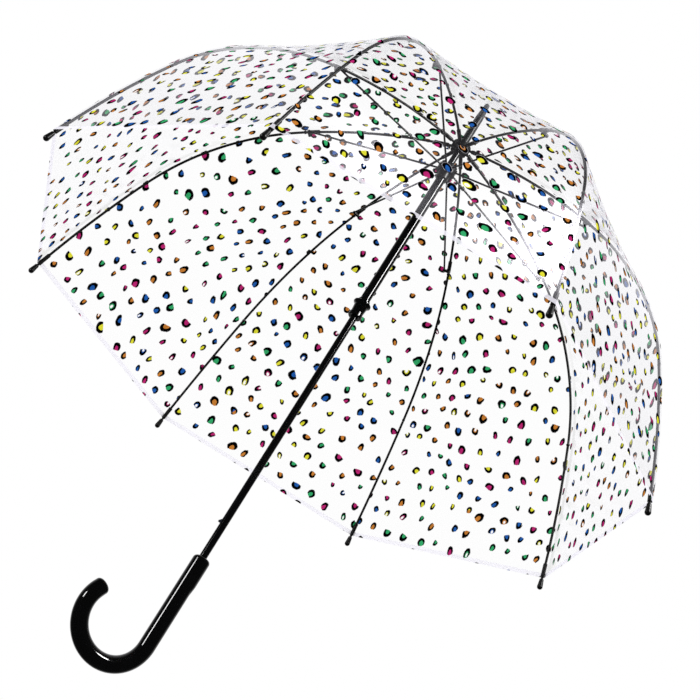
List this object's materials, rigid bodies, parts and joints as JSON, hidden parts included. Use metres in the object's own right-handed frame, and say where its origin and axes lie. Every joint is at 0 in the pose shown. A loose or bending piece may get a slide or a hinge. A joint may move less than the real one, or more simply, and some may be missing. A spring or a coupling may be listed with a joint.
{
  "type": "dome umbrella",
  "caption": "Straight stick umbrella with a deep clear dome canopy, slim bent ribs, a long sliding runner with stretchers and a crook handle.",
  "frame": {"origin": "on the shaft axis, in the middle of the handle's straight part", "axes": "+Z along the shaft towards the spike, the crook bends towards -X, one rib lies along +X"},
  "size_m": [0.844, 0.844, 0.9195],
  "materials": {
    "black_steel": "gloss",
    "black_gloss_plastic": "gloss",
    "black_plastic": "satin",
    "spring_steel": "bright",
    "clear_film": "clear gloss, printed with small coloured spots",
    "black_fibreglass": "satin"
  },
  "bodies": {
    "frame": {"shaft": "black_steel", "handle": "black_gloss_plastic", "spike": "black_plastic", "crown_cap": "black_plastic", "crown": "black_plastic", "crown_wire": "spring_steel", "stop_pin": "spring_steel", "canopy": "clear_film"},
    "runner": {"runner_head": "black_plastic", "runner_wire": "spring_steel", "runner_sleeve": "black_plastic", "runner_grip": "black_plastic"},
    "top_catch": {"top_catch": "spring_steel"},
    "bottom_catch": {"bottom_catch": "spring_steel"},
    "rib_1_inner": {"rib_1_inner": "black_fibreglass"},
    "rib_1_middle": {"rib_1_middle": "black_fibreglass"},
    "rib_1_outer": {"rib_1_outer": "black_fibreglass", "rib_1_tip": "black_gloss_plastic"},
    "stretcher_1": {"stretcher_1": "black_fibreglass"},
    "rib_2_inner": {"rib_2_inner": "black_fibreglass"},
    "rib_2_middle": {"rib_2_middle": "black_fibreglass"},
    "rib_2_outer": {"rib_2_outer": "black_fibreglass", "rib_2_tip": "black_gloss_plastic"},
    "stretcher_2": {"stretcher_2": "black_fibreglass"},
    "rib_3_inner": {"rib_3_inner": "black_fibreglass"},
    "rib_3_middle": {"rib_3_middle": "black_fibreglass"},
    "rib_3_outer": {"rib_3_outer": "black_fibreglass", "rib_3_tip": "black_gloss_plastic"},
    "stretcher_3": {"stretcher_3": "black_fibreglass"},
    "rib_4_inner": {"rib_4_inner": "black_fibreglass"},
    "rib_4_middle": {"rib_4_middle": "black_fibreglass"},
    "rib_4_outer": {"rib_4_outer": "black_fibreglass", "rib_4_tip": "black_gloss_plastic"},
    "stretcher_4": {"stretcher_4": "black_fibreglass"},
    "rib_5_inner": {"rib_5_inner": "black_fibreglass"},
    "rib_5_middle": {"rib_5_middle": "black_fibreglass"},
    "rib_5_outer": {"rib_5_outer": "black_fibreglass", "rib_5_tip": "black_gloss_plastic"},
    "stretcher_5": {"stretcher_5": "black_fibreglass"},
    "rib_6_inner": {"rib_6_inner": "black_fibreglass"},
    "rib_6_middle": {"rib_6_middle": "black_fibreglass"},
    "rib_6_outer": {"rib_6_outer": "black_fibreglass", "rib_6_tip": "black_gloss_plastic"},
    "stretcher_6": {"stretcher_6": "black_fibreglass"},
    "rib_7_inner": {"rib_7_inner": "black_fibreglass"},
    "rib_7_middle": {"rib_7_middle": "black_fibreglass"},
    "rib_7_outer": {"rib_7_outer": "black_fibreglass", "rib_7_tip": "black_gloss_plastic"},
    "stretcher_7": {"stretcher_7": "black_fibreglass"},
    "rib_8_inner": {"rib_8_inner": "black_fibreglass"},
    "rib_8_middle": {"rib_8_middle": "black_fibreglass"},
    "rib_8_outer": {"rib_8_outer": "black_fibreglass", "rib_8_tip": "black_gloss_plastic"},
    "stretcher_8": {"stretcher_8": "black_fibreglass"}
  },
  "joints": [
    {"name": "runner_slide", "type": "slide", "parent": "frame", "child": "runner", "axis": [0, 0, 1], "range_m": [-0.34587, 0], "deforming": ["canopy", "top_catch", "bottom_catch"]},
    {"name": "top_catch_press", "type": "hinge", "parent": "frame", "child": "top_catch", "pos_m": [-0.0023, 0, 0.43088], "axis": [0, 1, 0], "range_deg": [0, 5.6], "stiffness_Nm_per_rad": 0.7},
    {"name": "bottom_catch_press", "type": "hinge", "parent": "frame", "child": "bottom_catch", "pos_m": [-0.0023, 0, 0.0774], "axis": [0, 1, 0], "range_deg": [0, 5.6], "stiffness_Nm_per_rad": 0.7},
    {"name": "rib_1_inner_hinge", "type": "hinge", "parent": "frame", "child": "rib_1_inner", "pos_m": [0.009, 0, 0.72298], "axis": [0, 1, 0], "range_deg": [0, 72.36]},
    {"name": "rib_1_middle_hinge", "type": "hinge", "parent": "rib_1_inner", "child": "rib_1_middle", "pos_m": [0.20631, 0, 0.66751], "axis": [0, 1, 0], "range_deg": [-32.9, 0]},
    {"name": "rib_1_outer_hinge", "type": "hinge", "parent": "rib_1_middle", "child": "rib_1_outer", "pos_m": [0.35958, 0, 0.50315], "axis": [0, 1, 0], "range_deg": [-24.54, 0]},
    {"name": "stretcher_1_hinge", "type": "hinge", "parent": "runner", "child": "stretcher_1", "pos_m": [0.0095, 0, 0.68037], "axis": [0, 1, 0], "range_deg": [-93.18, 0]},
    {"name": "rib_2_inner_hinge", "type": "hinge", "parent": "frame", "child": "rib_2_inner", "pos_m": [0.00636, 0.00636, 0.72298], "axis": [-0.7071, 0.7071, 0], "range_deg": [0, 72.36]},
    {"name": "rib_2_middle_hinge", "type": "hinge", "parent": "rib_2_inner", "child": "rib_2_middle", "pos_m": [0.14588, 0.14588, 0.66751], "axis": [-0.7071, 0.7071, 0], "range_deg": [-32.9, 0]},
    {"name": "rib_2_outer_hinge", "type": "hinge", "parent": "rib_2_middle", "child": "rib_2_outer", "pos_m": [0.25426, 0.25426, 0.50315], "axis": [-0.7071, 0.7071, 0], "range_deg": [-24.54, 0]},
    {"name": "stretcher_2_hinge", "type": "hinge", "parent": "runner", "child": "stretcher_2", "pos_m": [0.00672, 0.00672, 0.68037], "axis": [-0.7071, 0.7071, 0], "range_deg": [-93.18, 0]},
    {"name": "rib_3_inner_hinge", "type": "hinge", "parent": "frame", "child": "rib_3_inner", "pos_m": [0, 0.009, 0.72298], "axis": [-1, 0, 0], "range_deg": [0, 72.36]},
    {"name": "rib_3_middle_hinge", "type": "hinge", "parent": "rib_3_inner", "child": "rib_3_middle", "pos_m": [0, 0.20631, 0.66751], "axis": [-1, 0, 0], "range_deg": [-32.9, 0]},
    {"name": "rib_3_outer_hinge", "type": "hinge", "parent": "rib_3_middle", "child": "rib_3_outer", "pos_m": [0, 0.35958, 0.50315], "axis": [-1, 0, 0], "range_deg": [-24.54, 0]},
    {"name": "stretcher_3_hinge", "type": "hinge", "parent": "runner", "child": "stretcher_3", "pos_m": [0, 0.0095, 0.68037], "axis": [-1, 0, 0], "range_deg": [-93.18, 0]},
    {"name": "rib_4_inner_hinge", "type": "hinge", "parent": "frame", "child": "rib_4_inner", "pos_m": [-0.00636, 0.00636, 0.72298], "axis": [-0.7071, -0.7071, 0], "range_deg": [0, 72.36]},
    {"name": "rib_4_middle_hinge", "type": "hinge", "parent": "rib_4_inner", "child": "rib_4_middle", "pos_m": [-0.14588, 0.14588, 0.66751], "axis": [-0.7071, -0.7071, 0], "range_deg": [-32.9, 0]},
    {"name": "rib_4_outer_hinge", "type": "hinge", "parent": "rib_4_middle", "child": "rib_4_outer", "pos_m": [-0.25426, 0.25426, 0.50315], "axis": [-0.7071, -0.7071, 0], "range_deg": [-24.54, 0]},
    {"name": "stretcher_4_hinge", "type": "hinge", "parent": "runner", "child": "stretcher_4", "pos_m": [-0.00672, 0.00672, 0.68037], "axis": [-0.7071, -0.7071, 0], "range_deg": [-93.18, 0]},
    {"name": "rib_5_inner_hinge", "type": "hinge", "parent": "frame", "child": "rib_5_inner", "pos_m": [-0.009, 0, 0.72298], "axis": [0, -1, 0], "range_deg": [0, 72.36]},
    {"name": "rib_5_middle_hinge", "type": "hinge", "parent": "rib_5_inner", "child": "rib_5_middle", "pos_m": [-0.20631, 0, 0.66751], "axis": [0, -1, 0], "range_deg": [-32.9, 0]},
    {"name": "rib_5_outer_hinge", "type": "hinge", "parent": "rib_5_middle", "child": "rib_5_outer", "pos_m": [-0.35958, 0, 0.50315], "axis": [0, -1, 0], "range_deg": [-24.54, 0]},
    {"name": "stretcher_5_hinge", "type": "hinge", "parent": "runner", "child": "stretcher_5", "pos_m": [-0.0095, 0, 0.68037], "axis": [0, -1, 0], "range_deg": [-93.18, 0]},
    {"name": "rib_6_inner_hinge", "type": "hinge", "parent": "frame", "child": "rib_6_inner", "pos_m": [-0.00636, -0.00636, 0.72298], "axis": [0.7071, -0.7071, 0], "range_deg": [0, 72.36]},
    {"name": "rib_6_middle_hinge", "type": "hinge", "parent": "rib_6_inner", "child": "rib_6_middle", "pos_m": [-0.14588, -0.14588, 0.66751], "axis": [0.7071, -0.7071, 0], "range_deg": [-32.9, 0]},
    {"name": "rib_6_outer_hinge", "type": "hinge", "parent": "rib_6_middle", "child": "rib_6_outer", "pos_m": [-0.25426, -0.25426, 0.50315], "axis": [0.7071, -0.7071, 0], "range_deg": [-24.54, 0]},
    {"name": "stretcher_6_hinge", "type": "hinge", "parent": "runner", "child": "stretcher_6", "pos_m": [-0.00672, -0.00672, 0.68037], "axis": [0.7071, -0.7071, 0], "range_deg": [-93.18, 0]},
    {"name": "rib_7_inner_hinge", "type": "hinge", "parent": "frame", "child": "rib_7_inner", "pos_m": [0, -0.009, 0.72298], "axis": [1, 0, 0], "range_deg": [0, 72.36]},
    {"name": "rib_7_middle_hinge", "type": "hinge", "parent": "rib_7_inner", "child": "rib_7_middle", "pos_m": [0, -0.20631, 0.66751], "axis": [1, 0, 0], "range_deg": [-32.9, 0]},
    {"name": "rib_7_outer_hinge", "type": "hinge", "parent": "rib_7_middle", "child": "rib_7_outer", "pos_m": [0, -0.35958, 0.50315], "axis": [1, 0, 0], "range_deg": [-24.54, 0]},
    {"name": "stretcher_7_hinge", "type": "hinge", "parent": "runner", "child": "stretcher_7", "pos_m": [0, -0.0095, 0.68037], "axis": [1, 0, 0], "range_deg": [-93.18, 0]},
    {"name": "rib_8_inner_hinge", "type": "hinge", "parent": "frame", "child": "rib_8_inner", "pos_m": [0.00636, -0.00636, 0.72298], "axis": [0.7071, 0.7071, 0], "range_deg": [0, 72.36]},
    {"name": "rib_8_middle_hinge", "type": "hinge", "parent": "rib_8_inner", "child": "rib_8_middle", "pos_m": [0.14588, -0.14588, 0.66751], "axis": [0.7071, 0.7071, 0], "range_deg": [-32.9, 0]},
    {"name": "rib_8_outer_hinge", "type": "hinge", "parent": "rib_8_middle", "child": "rib_8_outer", "pos_m": [0.25426, -0.25426, 0.50315], "axis": [0.7071, 0.7071, 0], "range_deg": [-24.54, 0]},
    {"name": "stretcher_8_hinge", "type": "hinge", "parent": "runner", "child": "stretcher_8", "pos_m": [0.00672, -0.00672, 0.68037], "axis": [0.7071, 0.7071, 0], "range_deg": [-93.18, 0]}
  ],
  "couplings": [
    {"joint": "rib_1_inner_hinge", "follows": "runner_slide", "rad_per_m": -3.6487},
    {"joint": "rib_1_middle_hinge", "follows": "runner_slide", "rad_per_m": 1.6575},
    {"joint": "rib_1_outer_hinge", "follows": "runner_slide", "rad_per_m": 1.236},
    {"joint": "stretcher_1_hinge", "follows": "runner_slide", "rad_per_m": 4.6993},
    {"joint": "rib_2_inner_hinge", "follows": "runner_slide", "rad_per_m": -3.6487},
    {"joint": "rib_2_middle_hinge", "follows": "runner_slide", "rad_per_m": 1.6575},
    {"joint": "rib_2_outer_hinge", "follows": "runner_slide", "rad_per_m": 1.236},
    {"joint": "stretcher_2_hinge", "follows": "runner_slide", "rad_per_m": 4.6993},
    {"joint": "rib_3_inner_hinge", "follows": "runner_slide", "rad_per_m": -3.6487},
    {"joint": "rib_3_middle_hinge", "follows": "runner_slide", "rad_per_m": 1.6575},
    {"joint": "rib_3_outer_hinge", "follows": "runner_slide", "rad_per_m": 1.236},
    {"joint": "stretcher_3_hinge", "follows": "runner_slide", "rad_per_m": 4.6993},
    {"joint": "rib_4_inner_hinge", "follows": "runner_slide", "rad_per_m": -3.6487},
    {"joint": "rib_4_middle_hinge", "follows": "runner_slide", "rad_per_m": 1.6575},
    {"joint": "rib_4_outer_hinge", "follows": "runner_slide", "rad_per_m": 1.236},
    {"joint": "stretcher_4_hinge", "follows": "runner_slide", "rad_per_m": 4.6993},
    {"joint": "rib_5_inner_hinge", "follows": "runner_slide", "rad_per_m": -3.6487},
    {"joint": "rib_5_middle_hinge", "follows": "runner_slide", "rad_per_m": 1.6575},
    {"joint": "rib_5_outer_hinge", "follows": "runner_slide", "rad_per_m": 1.236},
    {"joint": "stretcher_5_hinge", "follows": "runner_slide", "rad_per_m": 4.6993},
    {"joint": "rib_6_inner_hinge", "follows": "runner_slide", "rad_per_m": -3.6487},
    {"joint": "rib_6_middle_hinge", "follows": "runner_slide", "rad_per_m": 1.6575},
    {"joint": "rib_6_outer_hinge", "follows": "runner_slide", "rad_per_m": 1.236},
    {"joint": "stretcher_6_hinge", "follows": "runner_slide", "rad_per_m": 4.6993},
    {"joint": "rib_7_inner_hinge", "follows": "runner_slide", "rad_per_m": -3.6487},
    {"joint": "rib_7_middle_hinge", "follows": "runner_slide", "rad_per_m": 1.6575},
    {"joint": "rib_7_outer_hinge", "follows": "runner_slide", "rad_per_m": 1.236},
    {"joint": "stretcher_7_hinge", "follows": "runner_slide", "rad_per_m": 4.6993},
    {"joint": "rib_8_inner_hinge", "follows": "runner_slide", "rad_per_m": -3.6487},
    {"joint": "rib_8_middle_hinge", "follows": "runner_slide", "rad_per_m": 1.6575},
    {"joint": "rib_8_outer_hinge", "follows": "runner_slide", "rad_per_m": 1.236},
    {"joint": "stretcher_8_hinge", "follows": "runner_slide", "rad_per_m": 4.6993}
  ]
}
